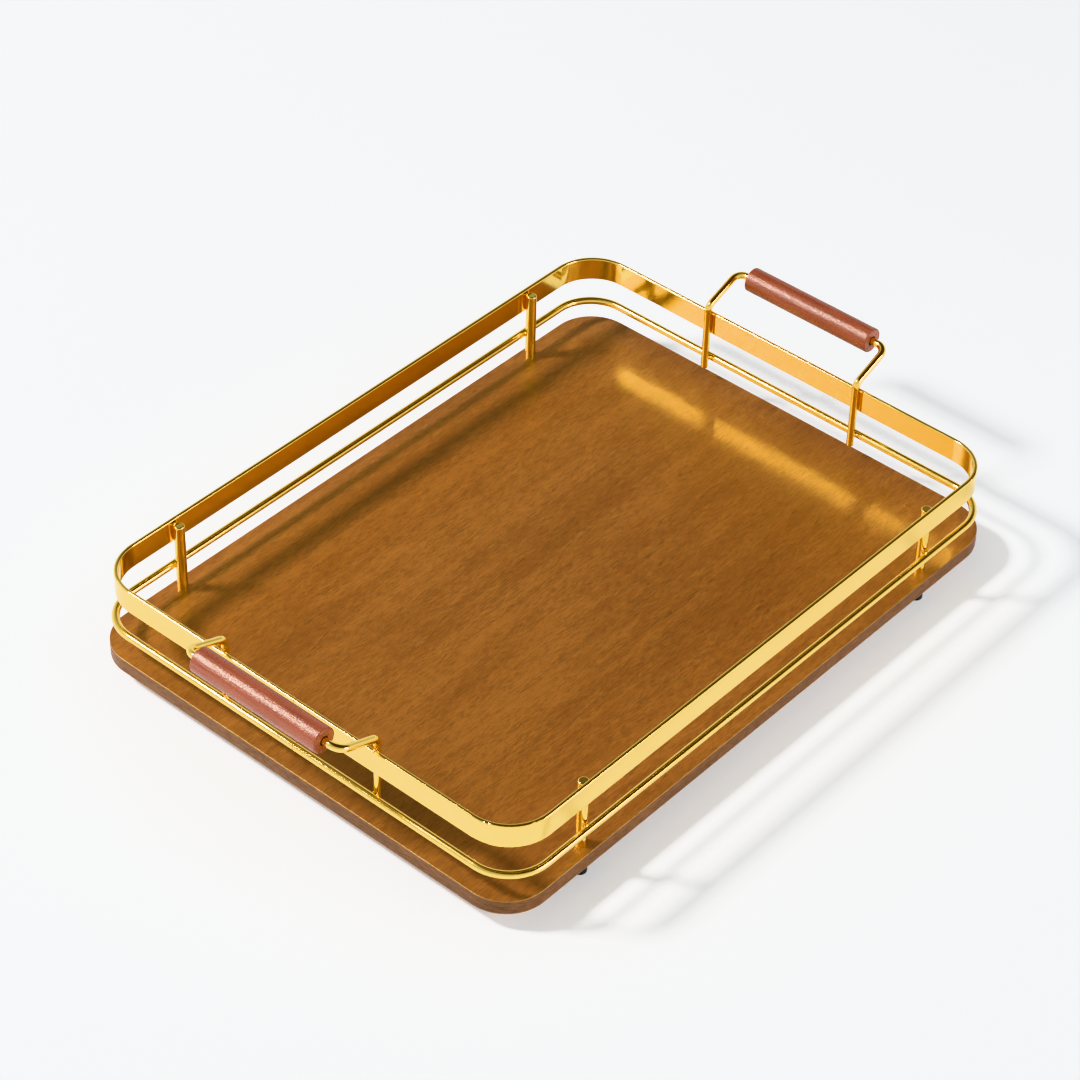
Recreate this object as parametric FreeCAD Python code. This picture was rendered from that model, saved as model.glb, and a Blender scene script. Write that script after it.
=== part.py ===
"""Serving tray: a veneered board on four rubber feet, ringed by a welded metal gallery
rail, with a bent-wire handle and a turned wooden grip at each end.

Frame: millimetres, +Z up.  +X runs along the board to its right-hand end, +Y to its back.
The origin is under the middle of the tray, on the surface that the feet stand on.
"""
import FreeCAD
import Part

import math
import os

from FreeCAD import Vector

# ---------------------------------------------------------------- driving dimensions, mm
# Board: a core faced with veneer above and below, and banded round its edge.
board_length = 400.0
board_width = 295.0
board_corner_radius = 25.0
core_thickness = 7.8
veneer_thickness = 0.6
edge_band_thickness = 0.8
veneer_edge_rounding = 0.3

# Gallery rail: a flat band above a round wire, both running round the board.
rail_inset_end = 6.1            # from the board's short ends in to the rings' inner faces
rail_inset_side = 4.3           # from the board's long sides in to the rings' inner faces
band_height = 14.4
band_thickness = 2.4
band_above_board = 31.8
band_corner_radius = 27.0       # outer face
band_edge_rounding = 0.9
wire_diameter = 4.4
wire_above_board = 14.3         # board to the wire's centre line
wire_corner_radius = 24.5       # centre line

# Butt welds that close both rings, ground a little below the metal beside them.
butt_weld_length = 0.7
butt_weld_depth = 0.2

# Posts: round rods that stand on the board inside both rings.
post_diameter = 6.0
post_height = 43.5
post_end_distance = 60.5        # from the board's short end to the post's axis
post_top_rounding = 0.8

# Handles: one bent wire each, welded inside both rings.
handle_wire_diameter = 4.2
handle_leg_spacing = 105.2
handle_leg_below_wire = 5.6     # the leg's cut end, below the lower ring's centre line
handle_knee_above_band = 5.5    # band's top edge to the corner where the leg turns out
handle_reach = 26.2             # from the leg's axis out to the grip's axis
handle_rise = 9.9               # from the knee up to the grip's axis
knee_bend_radius = 5.0
top_bend_radius = 6.0
wire_end_rounding = 0.4

# Grips: turned sleeves, loose on the handle wires.
grip_diameter = 14.5
grip_length = 85.6
grip_bore_clearance = 0.6       # radial
grip_end_rounding = 0.8
grip_bore_rounding = 0.4

# Screws and feet.
screw_diameter = 3.0
screw_hole_clearance = 0.2      # radial, in the board
screw_in_post = 10.0
post_hole_spare = 2.0
screw_head_diameter = 5.6
screw_head_height = 2.2
screw_recess_width = 0.8
screw_recess_span = 3.0
screw_recess_depth = 1.2
thread_fit = 0.02               # radial, between a screw and the post that it is driven into
foot_diameter = 7.2
foot_height = 10.0
foot_rounding = 0.8
foot_fit = 0.02                 # radial, round the screw's head

# Weld fillets between the rings and what stands inside them.
weld_reach = 1.8
weld_root_gap = 0.5             # half-width left open where two round faces meet
weld_end_margin = 1.2

# ---------------------------------------------------------------- derived places
board_thickness = core_thickness + 2 * veneer_thickness
board_bottom = foot_height
core_bottom = board_bottom + veneer_thickness
core_top = core_bottom + core_thickness
board_top = board_bottom + board_thickness

half_length = board_length / 2
half_width = board_width / 2
inner_x = half_length - rail_inset_end
inner_y = half_width - rail_inset_side

band_bottom = board_top + band_above_board
band_top = band_bottom + band_height
wire_radius = wire_diameter / 2
wire_z = board_top + wire_above_board

post_radius = post_diameter / 2
post_x = half_length - post_end_distance
post_y = inner_y - post_radius
post_top = board_top + post_height

handle_radius = handle_wire_diameter / 2
leg_x = inner_x - handle_radius
leg_y = handle_leg_spacing / 2
leg_bottom = wire_z - handle_leg_below_wire
knee_z = band_top + handle_knee_above_band
grip_x = leg_x + handle_reach
grip_z = knee_z + handle_rise

SIDES = {"left": -1, "right": 1}
ROWS = {"front": -1, "back": 1}
UP = Vector(0, 0, 1)


def corner_names():
    """Name and the two signs of each of the tray's four corners."""
    return [(row + "_" + side, SIDES[side], ROWS[row]) for row in ROWS for side in SIDES]


# ---------------------------------------------------------------- shape helpers
def rod(radius, height, foot, direction=UP):
    return Part.makeCylinder(radius, height, foot, direction)


def box_spanning(a, b):
    """Box with its faces square to the axes and opposite corners at a and b."""
    low = Vector(min(a.x, b.x), min(a.y, b.y), min(a.z, b.z))
    high = Vector(max(a.x, b.x), max(a.y, b.y), max(a.z, b.z))
    size = high - low
    return Part.makeBox(size.x, size.y, size.z, low)


def bent_path(points, radii):
    """Open wire through the points, with a tangent arc in place of each inner corner."""
    edges = []
    start = points[0]
    for before, corner, after, radius in zip(points, points[1:], points[2:], radii):
        inward = (corner - before).normalize()
        outward = (after - corner).normalize()
        half_turn = inward.getAngle(outward) / 2
        setback = radius * math.tan(half_turn)
        arc_start = corner - inward * setback
        arc_end = corner + outward * setback
        towards_centre = (outward - inward).normalize()
        arc_middle = corner + towards_centre * (radius / math.cos(half_turn) - radius)
        edges.append(Part.LineSegment(start, arc_start).toShape())
        edges.append(Part.Arc(arc_start, arc_middle, arc_end).toShape())
        start = arc_end
    edges.append(Part.LineSegment(start, points[-1]).toShape())
    return Part.Wire(edges)


def closed_outline(half_x, half_y, radius, z):
    """Closed rounded rectangle, centred on the origin, at height z."""
    corners = [
        Vector(half_x, half_y, z),
        Vector(-half_x, half_y, z),
        Vector(-half_x, -half_y, z),
        Vector(half_x, -half_y, z),
    ]
    middle = Vector(half_x, 0, z)
    return bent_path([middle] + corners + [middle], [radius] * 4)


def rounded_slab(half_x, half_y, radius, bottom, height):
    outline = closed_outline(half_x, half_y, radius, bottom)
    return Part.Face(outline).extrude(UP * height)


def ring_path(half_x, half_y, radius, z, opening):
    """Rounded rectangle that starts and ends either side of an opening in its left end."""
    points = [
        Vector(-half_x, opening / 2, z),
        Vector(-half_x, half_y, z),
        Vector(half_x, half_y, z),
        Vector(half_x, -half_y, z),
        Vector(-half_x, -half_y, z),
        Vector(-half_x, -opening / 2, z),
    ]
    return bent_path(points, [radius] * 4)


def round_face(radius, centre, direction):
    return Part.Face(Part.Wire(Part.makeCircle(radius, centre, direction)))


def upright_strip_face(centre, thickness, height, rounding):
    """Cross-section of a flat strip on edge, in a plane that faces along Y."""
    half_t = thickness / 2
    half_h = height / 2
    middle = centre + Vector(half_t, 0, 0)
    corners = [
        centre + Vector(half_t, 0, half_h),
        centre + Vector(-half_t, 0, half_h),
        centre + Vector(-half_t, 0, -half_h),
        centre + Vector(half_t, 0, -half_h),
    ]
    return Part.Face(bent_path([middle] + corners + [middle], [rounding] * 4))


def circles_at(shape, z, radius):
    """The shape's full-circle edges of this radius in the horizontal plane at z."""
    found = []
    for edge in shape.Edges:
        if not isinstance(edge.Curve, Part.Circle):
            continue
        box = edge.BoundBox
        flat = abs(box.ZMin - z) < 1e-3 and abs(box.ZMax - z) < 1e-3
        if flat and abs(edge.Curve.Radius - radius) < 1e-3:
            found.append(edge)
    return found


def outline_edges(shape, z, inside_x, inside_y):
    """Edges in the horizontal plane at z that lie outside the given half-sizes."""
    found = []
    for edge in shape.Edges:
        box = edge.BoundBox
        flat = abs(box.ZMin - z) < 1e-3 and abs(box.ZMax - z) < 1e-3
        centre = box.Center
        if flat and (abs(centre.x) > inside_x or abs(centre.y) > inside_y):
            found.append(edge)
    return found


# ---------------------------------------------------------------- board
def screw_holes(bottom, height):
    radius = screw_diameter / 2 + screw_hole_clearance
    places = [Vector(sx * post_x, sy * post_y, bottom) for _, sx, sy in corner_names()]
    return Part.makeCompound([rod(radius, height, place) for place in places])


def make_core():
    core = rounded_slab(half_length - edge_band_thickness, half_width - edge_band_thickness,
                        board_corner_radius - edge_band_thickness, core_bottom, core_thickness)
    return core.cut(screw_holes(core_bottom, core_thickness))


def make_veneer(bottom, outer_face):
    """A face sheet; the edge of its outer face is sanded slightly round."""
    sheet = rounded_slab(half_length, half_width, board_corner_radius, bottom, veneer_thickness)
    rim = outline_edges(sheet, outer_face, 0, 0)
    sheet = sheet.makeFillet(veneer_edge_rounding, rim)
    return sheet.cut(screw_holes(bottom, veneer_thickness))


def make_edge_band():
    outer = rounded_slab(half_length, half_width, board_corner_radius, core_bottom, core_thickness)
    inner = rounded_slab(half_length - edge_band_thickness, half_width - edge_band_thickness,
                         board_corner_radius - edge_band_thickness, core_bottom, core_thickness)
    return outer.cut(inner)


# ---------------------------------------------------------------- gallery rail
def make_band():
    half_t = band_thickness / 2
    middle_z = (band_bottom + band_top) / 2
    path = ring_path(inner_x + half_t, inner_y + half_t, band_corner_radius - half_t,
                     middle_z, butt_weld_length)
    section = upright_strip_face(Vector(-inner_x - half_t, butt_weld_length / 2, middle_z),
                                 band_thickness, band_height, band_edge_rounding)
    return path.makePipe(section)


def make_wire_ring():
    path = ring_path(inner_x + wire_radius, inner_y + wire_radius, wire_corner_radius,
                     wire_z, butt_weld_length)
    start = Vector(-inner_x - wire_radius, butt_weld_length / 2, wire_z)
    return path.makePipe(round_face(wire_radius, start, Vector(0, 1, 0)))


def make_band_butt_weld():
    low = Vector(-inner_x - band_thickness + butt_weld_depth, -butt_weld_length / 2,
                 band_bottom + butt_weld_depth)
    high = Vector(-inner_x - butt_weld_depth, butt_weld_length / 2, band_top - butt_weld_depth)
    bead = box_spanning(low, high)
    along_y = [edge for edge in bead.Edges if edge.BoundBox.YLength > butt_weld_length / 2]
    return bead.makeFillet(band_edge_rounding, along_y)


def make_wire_butt_weld():
    start = Vector(-inner_x - wire_radius, -butt_weld_length / 2, wire_z)
    return rod(wire_radius - butt_weld_depth, butt_weld_length, start, Vector(0, 1, 0))


# ---------------------------------------------------------------- posts, screws and feet
def make_post(x, y):
    """Round post with a softened top and a blind tapped hole in its lower end."""
    post = rod(post_radius, post_height, Vector(x, y, board_top))
    post = post.makeFillet(post_top_rounding, circles_at(post, post_top, post_radius))
    hole = rod(screw_diameter / 2, screw_in_post + post_hole_spare, Vector(x, y, board_top))
    return post.cut(hole)


def make_screw(x, y):
    """Pan-head screw, driven up through the board; its cross recess faces down."""
    head_bottom = board_bottom - screw_head_height
    head_radius = screw_head_diameter / 2
    head = rod(head_radius, screw_head_height, Vector(x, y, head_bottom))
    shank = rod(screw_diameter / 2 - thread_fit, board_thickness + screw_in_post,
                Vector(x, y, board_bottom))
    screw = head.fuse(shank).removeSplitter()
    half_span = screw_recess_span / 2
    half_slot = screw_recess_width / 2
    recess_top = head_bottom + screw_recess_depth
    for half_x, half_y in ((half_span, half_slot), (half_slot, half_span)):
        low = Vector(x - half_x, y - half_y, head_bottom)
        high = Vector(x + half_x, y + half_y, recess_top)
        screw = screw.cut(box_spanning(low, high))
    return screw


def make_foot(x, y):
    """Rubber foot, pushed over the screw's head up against the board."""
    radius = foot_diameter / 2
    foot = rod(radius, foot_height, Vector(x, y, 0))
    foot = foot.makeFillet(foot_rounding, circles_at(foot, 0, radius))
    pocket = rod(screw_head_diameter / 2 + foot_fit, screw_head_height,
                 Vector(x, y, board_bottom - screw_head_height))
    return foot.cut(pocket)


# ---------------------------------------------------------------- handles and grips
def make_handle_wire(side):
    points = [
        Vector(side * leg_x, -leg_y, leg_bottom),
        Vector(side * leg_x, -leg_y, knee_z),
        Vector(side * grip_x, -leg_y, grip_z),
        Vector(side * grip_x, leg_y, grip_z),
        Vector(side * leg_x, leg_y, knee_z),
        Vector(side * leg_x, leg_y, leg_bottom),
    ]
    radii = [knee_bend_radius, top_bend_radius, top_bend_radius, knee_bend_radius]
    path = bent_path(points, radii)
    wire = path.makePipe(round_face(handle_radius, points[0], UP))
    return wire.makeFillet(wire_end_rounding, circles_at(wire, leg_bottom, handle_radius))


def make_grip(side):
    radius = grip_diameter / 2
    bore_radius = handle_radius + grip_bore_clearance
    start = Vector(side * grip_x, -grip_length / 2, grip_z)
    along = Vector(0, 1, 0)
    sleeve = rod(radius, grip_length, start, along).cut(rod(bore_radius, grip_length, start, along))
    for ring_radius, rounding in ((radius, grip_end_rounding), (bore_radius, grip_bore_rounding)):
        rims = [edge for edge in sleeve.Edges
                if isinstance(edge.Curve, Part.Circle)
                and abs(edge.Curve.Radius - ring_radius) < 1e-3]
        sleeve = sleeve.makeFillet(rounding, rims)
    return sleeve


# ---------------------------------------------------------------- weld fillets
def weld_fillets(upright_radius, upright_top, touch, outward):
    """Fillets that join one upright rod to the band and to the wire ring.

    The rod touches both rings along the vertical line through touch, and outward points
    from the rod to the rings.  The metal fills the narrow wedges beside that line, but not
    their roots, where a wedge has no thickness.
    """
    across = UP.cross(outward)
    low_z = band_bottom + weld_end_margin
    high_z = min(upright_top, band_top) - weld_end_margin
    height = high_z - low_z
    low = Vector(touch.x, touch.y, low_z)
    crossing = Vector(touch.x, touch.y, wire_z)

    seam = rod(weld_reach, height, low)
    reach = outward * weld_reach
    root = box_spanning(low - reach - across * weld_root_gap,
                        low + reach + across * weld_root_gap + UP * height)
    band_side = box_spanning(low - across * weld_reach,
                             low + across * weld_reach + reach + UP * height)
    upright = rod(upright_radius, height, low - outward * upright_radius)
    pieces = seam.cut(root).cut(band_side).cut(upright).Solids

    saddle = Part.makeSphere(weld_reach, crossing, outward)
    pin = rod(weld_root_gap, 4 * weld_reach, crossing - reach * 2, outward)
    upright = rod(upright_radius, 4 * weld_reach,
                  crossing - outward * upright_radius - UP * (2 * weld_reach))
    wire = rod(wire_radius, 4 * weld_reach,
               crossing + outward * wire_radius - across * (2 * weld_reach), across)
    return pieces + saddle.cut(pin).cut(upright).cut(wire).Solids


# ---------------------------------------------------------------- assembly
def build_tray():
    nodes = {
        "board_core": make_core(),
        "top_veneer": make_veneer(core_top, board_top),
        "bottom_veneer": make_veneer(board_bottom, board_bottom),
        "edge_band": make_edge_band(),
        "upper_band": make_band(),
        "lower_wire_rail": make_wire_ring(),
        "band_butt_weld": make_band_butt_weld(),
        "wire_rail_butt_weld": make_wire_butt_weld(),
    }
    for name, side, row in corner_names():
        x = side * post_x
        y = row * post_y
        fillets = weld_fillets(post_radius, post_top, Vector(x, row * inner_y, 0),
                               Vector(0, row, 0))
        nodes["post_" + name] = make_post(x, y)
        nodes["post_weld_" + name] = Part.makeCompound(fillets)
        nodes["screw_" + name] = make_screw(x, y)
        nodes["foot_" + name] = make_foot(x, y)
    for name, side in SIDES.items():
        fillets = []
        for row in ROWS.values():
            fillets += weld_fillets(handle_radius, knee_z, Vector(side * inner_x, row * leg_y, 0),
                                    Vector(side, 0, 0))
        nodes["handle_wire_" + name] = make_handle_wire(side)
        nodes["handle_weld_" + name] = Part.makeCompound(fillets)
        nodes["grip_" + name] = make_grip(side)
    return nodes


def main():
    os.makedirs("parts", exist_ok=True)
    for name, shape in build_tray().items():
        if not shape.isValid():
            raise RuntimeError(name + " is not a valid shape")
        shape.exportStep("parts/" + name + ".step")
        print("%-28s %2d solid(s) %12.3f mm3" % (name, len(shape.Solids), shape.Volume))


main()
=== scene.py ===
"""Looks for the serving tray: materials on the CAD nodes, floor, studio light and camera.

Lengths are in metres, in the part's own frame: +X to its right-hand end, +Y to its back and
+Z up.  Material patterns are noise on each object's own coordinates, and their scales are in
cells per metre along the three axes.
"""

import math

import bpy
from mathutils import Matrix, Vector

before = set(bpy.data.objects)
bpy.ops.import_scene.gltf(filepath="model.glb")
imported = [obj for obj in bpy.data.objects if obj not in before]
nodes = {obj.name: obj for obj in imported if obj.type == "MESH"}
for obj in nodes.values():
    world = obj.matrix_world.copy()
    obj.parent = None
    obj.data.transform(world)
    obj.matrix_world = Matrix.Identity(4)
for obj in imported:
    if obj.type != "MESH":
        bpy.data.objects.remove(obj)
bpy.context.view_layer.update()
scene = bpy.context.scene


# ------------------------------------------------------------------ node helpers
def feed(tree, socket, value):
    """Links an output socket to the socket, or sets a plain value on it."""
    if isinstance(value, bpy.types.NodeSocket):
        tree.links.new(value, socket)
    else:
        socket.default_value = value


def rgb(red, green, blue):
    return (red, green, blue, 1.0)


class Graph:
    """A material's node tree, with short calls for the nodes that the materials share."""

    def __init__(self, name):
        self.material = bpy.data.materials.new(name)
        self.material.use_nodes = True
        self.tree = self.material.node_tree
        self.tree.nodes.clear()
        self.shader = self.add("ShaderNodeBsdfPrincipled")
        output = self.add("ShaderNodeOutputMaterial")
        feed(self.tree, output.inputs["Surface"], self.shader.outputs[0])
        self.place = self.add("ShaderNodeTexCoord").outputs["Object"]

    def add(self, kind, **settings):
        node = self.tree.nodes.new(kind)
        for key, value in settings.items():
            setattr(node, key, value)
        return node

    def stretched(self, scale, offset=(0, 0, 0)):
        """The object's own coordinates, scaled along each axis and then shifted."""
        node = self.add("ShaderNodeMapping")
        node.inputs["Scale"].default_value = scale
        node.inputs["Location"].default_value = offset
        feed(self.tree, node.inputs["Vector"], self.place)
        return node.outputs["Vector"]

    def noise(self, vector, detail=2.0, roughness=0.5, distortion=0.0):
        node = self.add("ShaderNodeTexNoise")
        node.inputs["Scale"].default_value = 1.0
        node.inputs["Detail"].default_value = detail
        node.inputs["Roughness"].default_value = roughness
        node.inputs["Distortion"].default_value = distortion
        feed(self.tree, node.inputs["Vector"], vector)
        return node.outputs["Fac"]

    def ramp(self, value, low, high, out_low=0.0, out_high=1.0):
        """Maps low..high to out_low..out_high, held at the ends."""
        node = self.add("ShaderNodeMapRange", clamp=True)
        node.inputs["From Min"].default_value = low
        node.inputs["From Max"].default_value = high
        node.inputs["To Min"].default_value = out_low
        node.inputs["To Max"].default_value = out_high
        feed(self.tree, node.inputs["Value"], value)
        return node.outputs["Result"]

    def calculate(self, operation, a, b):
        node = self.add("ShaderNodeMath", operation=operation)
        feed(self.tree, node.inputs[0], a)
        feed(self.tree, node.inputs[1], b)
        return node.outputs[0]

    def plus(self, a, b):
        return self.calculate("ADD", a, b)

    def times(self, a, b):
        return self.calculate("MULTIPLY", a, b)

    def mix(self, factor, a, b):
        node = self.add("ShaderNodeMix", data_type="RGBA", blend_type="MIX")
        feed(self.tree, node.inputs["Factor"], factor)
        feed(self.tree, node.inputs[6], a)
        feed(self.tree, node.inputs[7], b)
        return node.outputs[2]

    def bump(self, height, distance):
        node = self.add("ShaderNodeBump")
        node.inputs["Strength"].default_value = 1.0
        node.inputs["Distance"].default_value = distance
        feed(self.tree, node.inputs["Height"], height)
        return node.outputs["Normal"]

    def finish(self, **sockets):
        """Feeds the shader's sockets; an underscore in a key stands for a space."""
        for key, value in sockets.items():
            feed(self.tree, self.shader.inputs[key.replace("_", " ")], value)
        return self.material


# ------------------------------------------------------------------ materials
# Bump distances, in metres.
PLATE_RIPPLE = 0.000004
WELD_RIPPLE = 0.00005
WOOD_RELIEF = 0.00015
GRIP_RELIEF = 0.00017
PLY_RELIEF = 0.00005
RUBBER_RELIEF = 0.00003
ZINC_RELIEF = 0.00002

PLY_THICKNESS = 0.0013

# How a timber's grain lies: which axes its length, its width and its depth run along.
GRAIN_ALONG_X = ((1, 0, 0), (0, 1, 0), (0, 0, 1))
GRAIN_ROUND_EDGE = ((1, 1, 0), (0, 0, 1), (0, 0, 0))


def gold_plate(name, colour, deep, rough, ripple):
    """Polished plate: a slow drift of tone and gloss, buffing haze and a faint ripple."""
    g = Graph(name)
    drift = g.noise(g.stretched((9, 9, 9)), detail=3.0)
    haze = g.noise(g.stretched((160, 160, 420)), detail=4.0, roughness=0.6)
    wipe = g.noise(g.stretched((38, 38, 90), (3, 1, 2)), detail=2.0)
    height = g.noise(g.stretched((120, 120, 120)), detail=1.0)
    tone = g.ramp(g.plus(drift, g.times(haze, 0.25)), 0.45, 0.8)
    return g.finish(Base_Color=g.mix(tone, colour, deep), Metallic=1.0,
                    Roughness=g.ramp(g.times(haze, wipe), 0.1, 0.45, rough * 0.7, rough * 1.5),
                    Normal=g.bump(height, ripple))


def grain(g, axes, seed):
    """The patterns of straight-grained timber, from broad figure to single pores."""
    def cells(lengthwise, crosswise, shift=0.0):
        scale = [lengthwise * along + crosswise * across + crosswise * depth * 0.5
                 for along, across, depth in zip(*axes)]
        return g.stretched(scale, [s + shift for s in seed])

    figure = g.noise(cells(7, 40), detail=4.0, roughness=0.55, distortion=0.25)
    mottle = g.noise(cells(48, 190, 4.0), detail=4.0, roughness=0.7)
    streak = g.noise(cells(6, 260, 2.0), detail=3.0, roughness=0.6)
    fibre = g.noise(cells(170, 1350, 8.0), detail=4.0, roughness=0.8)
    pore = g.noise(cells(150, 1000, 12.0), detail=1.0)
    return figure, mottle, streak, fibre, pore


def stained_wood(name, axes, light, dark, flush, pore_tone, rough, ior, gloss_tint,
                 seed=(0, 0, 0)):
    """Stained timber: light to dark along the figure, a redder flush, and short dark pores."""
    g = Graph(name)
    figure, mottle, streak, fibre, pore = grain(g, axes, seed)
    tone = g.plus(g.ramp(figure, 0.34, 0.68, 0.0, 0.42), g.ramp(mottle, 0.3, 0.7, -0.14, 0.3))
    tone = g.plus(tone, g.ramp(streak, 0.34, 0.66, -0.05, 0.27))
    tone = g.plus(tone, g.ramp(fibre, 0.39, 0.61, -0.52, 0.56))
    body = g.mix(g.ramp(tone, 0.0, 1.0), light, dark)
    body = g.mix(g.ramp(g.times(mottle, figure), 0.2, 0.36, 0.0, 0.5), body, flush)
    pores = g.times(g.ramp(pore, 0.62, 0.72), g.ramp(figure, 0.48, 0.62))
    body = g.mix(g.times(pores, 0.6), body, pore_tone)
    height = g.plus(g.plus(fibre, g.times(streak, 0.3)), g.times(pores, -0.15))
    return g.finish(Base_Color=body, Roughness=g.ramp(fibre, 0.3, 0.7, rough * 0.8, rough * 1.2),
                    Normal=g.bump(height, WOOD_RELIEF), IOR=ior, Specular_IOR_Level=0.9,
                    Specular_Tint=gloss_tint)


def grip_finish():
    """Turned handle wood under a thin stain: long fibres, and a fine tooth that breaks the gloss."""
    g = Graph("grip_wood_stained")
    long_fibre = g.noise(g.stretched((700, 45, 700)), detail=3.0, roughness=0.6)
    cloud = g.noise(g.stretched((60, 22, 60), (5, 2, 1)), detail=2.0)
    tooth = g.noise(g.stretched((1500, 800, 1500), (2, 7, 4)), detail=2.0, roughness=0.7)
    body = g.mix(g.ramp(long_fibre, 0.35, 0.7), rgb(0.30, 0.086, 0.046), rgb(0.19, 0.050, 0.026))
    body = g.mix(g.ramp(cloud, 0.4, 0.7, 0.0, 0.35), body, rgb(0.24, 0.068, 0.038))
    body = g.mix(g.ramp(tooth, 0.6, 0.74, 0.0, 0.5), body, rgb(0.13, 0.035, 0.022))
    height = g.plus(tooth, g.times(long_fibre, 0.8))
    return g.finish(Base_Color=body, Roughness=g.ramp(tooth, 0.38, 0.64, 0.2, 0.42),
                    Normal=g.bump(height, GRIP_RELIEF), Specular_Tint=rgb(1.0, 0.88, 0.76))


def laminated_core():
    """Plywood seen on edge: light and dark plies, one above the other, with a fine fibre."""
    g = Graph("board_core_ply")
    split = g.add("ShaderNodeSeparateXYZ")
    feed(g.tree, split.inputs[0], g.place)
    plies = g.calculate("PINGPONG", split.outputs["Z"], PLY_THICKNESS)
    fibre = g.noise(g.stretched((60, 60, 2200)), detail=3.0)
    body = g.mix(g.ramp(plies, 0.0, PLY_THICKNESS), rgb(0.42, 0.27, 0.13), rgb(0.3, 0.17, 0.07))
    body = g.mix(g.ramp(fibre, 0.45, 0.7, 0.0, 0.5), body, rgb(0.2, 0.11, 0.045))
    return g.finish(Base_Color=body, Roughness=g.ramp(fibre, 0.3, 0.7, 0.55, 0.75),
                    Normal=g.bump(fibre, PLY_RELIEF))


def rubber():
    """Black rubber with a little dust on it."""
    g = Graph("black_rubber")
    fine = g.noise(g.stretched((900, 900, 900)), detail=3.0)
    dust = g.noise(g.stretched((90, 90, 60)), detail=2.0)
    body = g.mix(g.ramp(dust, 0.5, 0.8, 0.0, 0.5), rgb(0.012, 0.012, 0.013), rgb(0.03, 0.029, 0.028))
    return g.finish(Base_Color=body, Roughness=g.ramp(fine, 0.3, 0.7, 0.5, 0.72),
                    Normal=g.bump(fine, RUBBER_RELIEF))


def zinc_plate():
    """Zinc-plated steel: a cloudy tone and a fine turned texture."""
    g = Graph("screw_zinc")
    turned = g.noise(g.stretched((1200, 1200, 260)), detail=2.0)
    cloud = g.noise(g.stretched((220, 220, 220)), detail=3.0)
    body = g.mix(g.ramp(cloud, 0.35, 0.7), rgb(0.62, 0.63, 0.65), rgb(0.45, 0.46, 0.5))
    return g.finish(Base_Color=body, Metallic=1.0, Roughness=g.ramp(turned, 0.3, 0.7, 0.24, 0.42),
                    Normal=g.bump(turned, ZINC_RELIEF))


# The CAD's material slots, and the finish that each one gets.
FINISHES = {
    "core_board": laminated_core(),
    "veneer": stained_wood(
        "veneer_stained", GRAIN_ALONG_X,
        light=rgb(0.298, 0.108, 0.026), dark=rgb(0.132, 0.042, 0.012),
        flush=rgb(0.200, 0.058, 0.013), pore_tone=rgb(0.066, 0.020, 0.006),
        rough=0.34, ior=1.75, gloss_tint=rgb(1.0, 0.78, 0.33)),
    "board_edge": stained_wood(
        "board_edge_stained", GRAIN_ROUND_EDGE,
        light=rgb(0.184, 0.078, 0.030), dark=rgb(0.082, 0.035, 0.015),
        flush=rgb(0.122, 0.049, 0.020), pore_tone=rgb(0.055, 0.024, 0.012),
        rough=0.50, ior=1.3, gloss_tint=rgb(1.0, 0.88, 0.68), seed=(3, 5, 1)),
    "gold_metal": gold_plate(
        "gold_plated", colour=rgb(1.0, 0.730, 0.215), deep=rgb(1.0, 0.69, 0.180),
        rough=0.11, ripple=PLATE_RIPPLE),
    "weld_metal": gold_plate(
        "gold_plated_weld", colour=rgb(0.93, 0.60, 0.16), deep=rgb(0.74, 0.42, 0.10),
        rough=0.18, ripple=WELD_RIPPLE),
    "grip_wood": grip_finish(),
    "screw_steel": zinc_plate(),
    "black_rubber": rubber(),
}
for node in nodes.values():
    for slot in node.material_slots:
        slot.material = FINISHES[slot.material.name]


# ------------------------------------------------------------------ floor and light
FLOOR_HALF_SIZE = 6.0
FLOOR_GLOW = 0.27           # the floor is a lit white table, so shadows on it stay pale
FLOOR_GLOW_TONE = rgb(0.90, 0.97, 1.0)

STUDIO_HORIZON = rgb(0.92, 0.96, 1.0)
STUDIO_WALLS = rgb(0.58, 0.61, 0.66)
STUDIO_CEILING = rgb(0.06, 0.032, 0.02)
UPWARDS = (0, 0, 1)
CEILING_DIRECTION = (0.30, -0.15, 0.94)
WALL_FADE = (0.15, 0.65)        # where the horizon turns to walls: a direction's share upwards
CEILING_FADE = (0.54, 0.84)     # where walls turn to ceiling: its share along the ceiling's

# Disk lights, both aimed at the part's origin: name, place, diameter and power in watts.
LIGHTS = (
    ("key", (-1.02, 1.15, 1.54), 0.34, 62.0),
    ("front_fill", (0.5, -1.7, 0.53), 0.9, 26.0),
)


def floor_finish():
    g = Graph("studio_floor")
    cloud = g.noise(g.stretched((2, 2, 2)), detail=2.0)
    body = g.mix(cloud, rgb(0.795, 0.795, 0.795), rgb(0.82, 0.82, 0.82))
    return g.finish(Base_Color=body, Roughness=0.75, Specular_IOR_Level=0.2,
                    Emission_Color=FLOOR_GLOW_TONE, Emission_Strength=FLOOR_GLOW)


def make_floor():
    half = FLOOR_HALF_SIZE
    mesh = bpy.data.meshes.new("studio_floor")
    corners = [(-half, -half, 0), (half, -half, 0), (half, half, 0), (-half, half, 0)]
    mesh.from_pydata(corners, [], [(0, 1, 2, 3)])
    mesh.materials.append(floor_finish())
    floor = bpy.data.objects.new("studio_floor", mesh)
    scene.collection.objects.link(floor)


def make_light(name, place, size, power):
    lamp_data = bpy.data.lights.new(name, "AREA")
    lamp_data.shape = "DISK"
    lamp_data.size = size
    lamp_data.energy = power
    lamp = bpy.data.objects.new(name, lamp_data)
    lamp.location = place
    lamp.rotation_mode = "QUATERNION"
    lamp.rotation_quaternion = (-Vector(place)).to_track_quat("-Z", "Y")
    scene.collection.objects.link(lamp)


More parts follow.
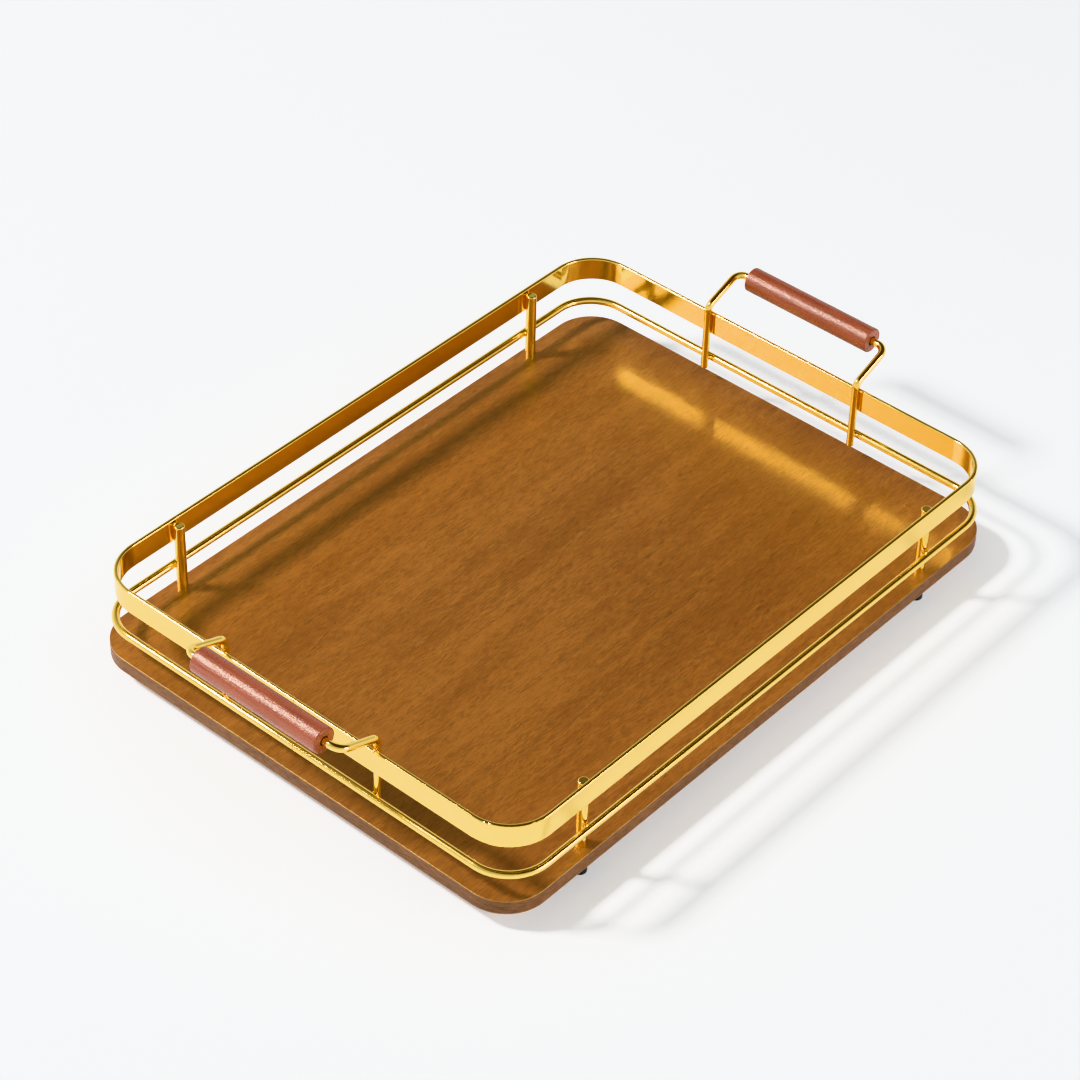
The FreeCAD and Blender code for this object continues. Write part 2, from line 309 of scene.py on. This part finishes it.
def make_world():
    """A pale studio: bright low walls, and an unlit ceiling."""
    world = bpy.data.worlds.new("studio")
    world.use_nodes = True
    tree = world.node_tree
    direction = tree.nodes.new("ShaderNodeTexCoord").outputs["Generated"]

    def shade(along, fade, tone, far_tone):
        """tone to far_tone, as the direction's share along a line runs over the fade."""
        share = tree.nodes.new("ShaderNodeVectorMath")
        share.operation = "DOT_PRODUCT"
        share.inputs[1].default_value = Vector(along).normalized()
        feed(tree, share.inputs[0], direction)
        ramp = tree.nodes.new("ShaderNodeMapRange")
        ramp.interpolation_type = "SMOOTHSTEP"
        ramp.inputs["From Min"].default_value, ramp.inputs["From Max"].default_value = fade
        feed(tree, ramp.inputs["Value"], share.outputs["Value"])
        blend = tree.nodes.new("ShaderNodeMix")
        blend.data_type = "RGBA"
        feed(tree, blend.inputs["Factor"], ramp.outputs["Result"])
        feed(tree, blend.inputs[6], tone)
        feed(tree, blend.inputs[7], far_tone)
        return blend.outputs[2]

    walls = shade(UPWARDS, WALL_FADE, STUDIO_HORIZON, STUDIO_WALLS)
    sky = shade(CEILING_DIRECTION, CEILING_FADE, walls, STUDIO_CEILING)
    feed(tree, tree.nodes["Background"].inputs["Color"], sky)
    scene.world = world


make_floor()
make_world()
for light in LIGHTS:
    make_light(*light)


# ------------------------------------------------------------------ camera
AZIMUTH, ELEVATION, ROLL = (math.radians(angle) for angle in (-49.69, 40.37, 1.66))
DISTANCE = 1.8013
AIM = Vector((0.0193, 0.0266, 0.019))
FOCAL_LENGTH = 110.45       # in millimetres, as is the sensor's width
SENSOR_WIDTH = 36.0
NEAREST_SEEN, FARTHEST_SEEN = 0.05, 50.0

back = Vector((math.sin(AZIMUTH) * math.cos(ELEVATION),
               -math.cos(AZIMUTH) * math.cos(ELEVATION),
               math.sin(ELEVATION)))
level = Vector((math.cos(AZIMUTH), math.sin(AZIMUTH), 0))
upright = back.cross(level)
right = level * math.cos(ROLL) + upright * math.sin(ROLL)
up = upright * math.cos(ROLL) - level * math.sin(ROLL)
turn = Matrix((right, up, back)).transposed().to_4x4()

camera_data = bpy.data.cameras.new("camera")
camera_data.lens = FOCAL_LENGTH
camera_data.sensor_width = SENSOR_WIDTH
camera_data.clip_start = NEAREST_SEEN
camera_data.clip_end = FARTHEST_SEEN
camera = bpy.data.objects.new("camera", camera_data)
scene.collection.objects.link(camera)
camera.matrix_world = Matrix.Translation(AIM + back * DISTANCE) @ turn
scene.camera = camera
scene.view_settings.view_transform = "Khronos PBR Neutral"
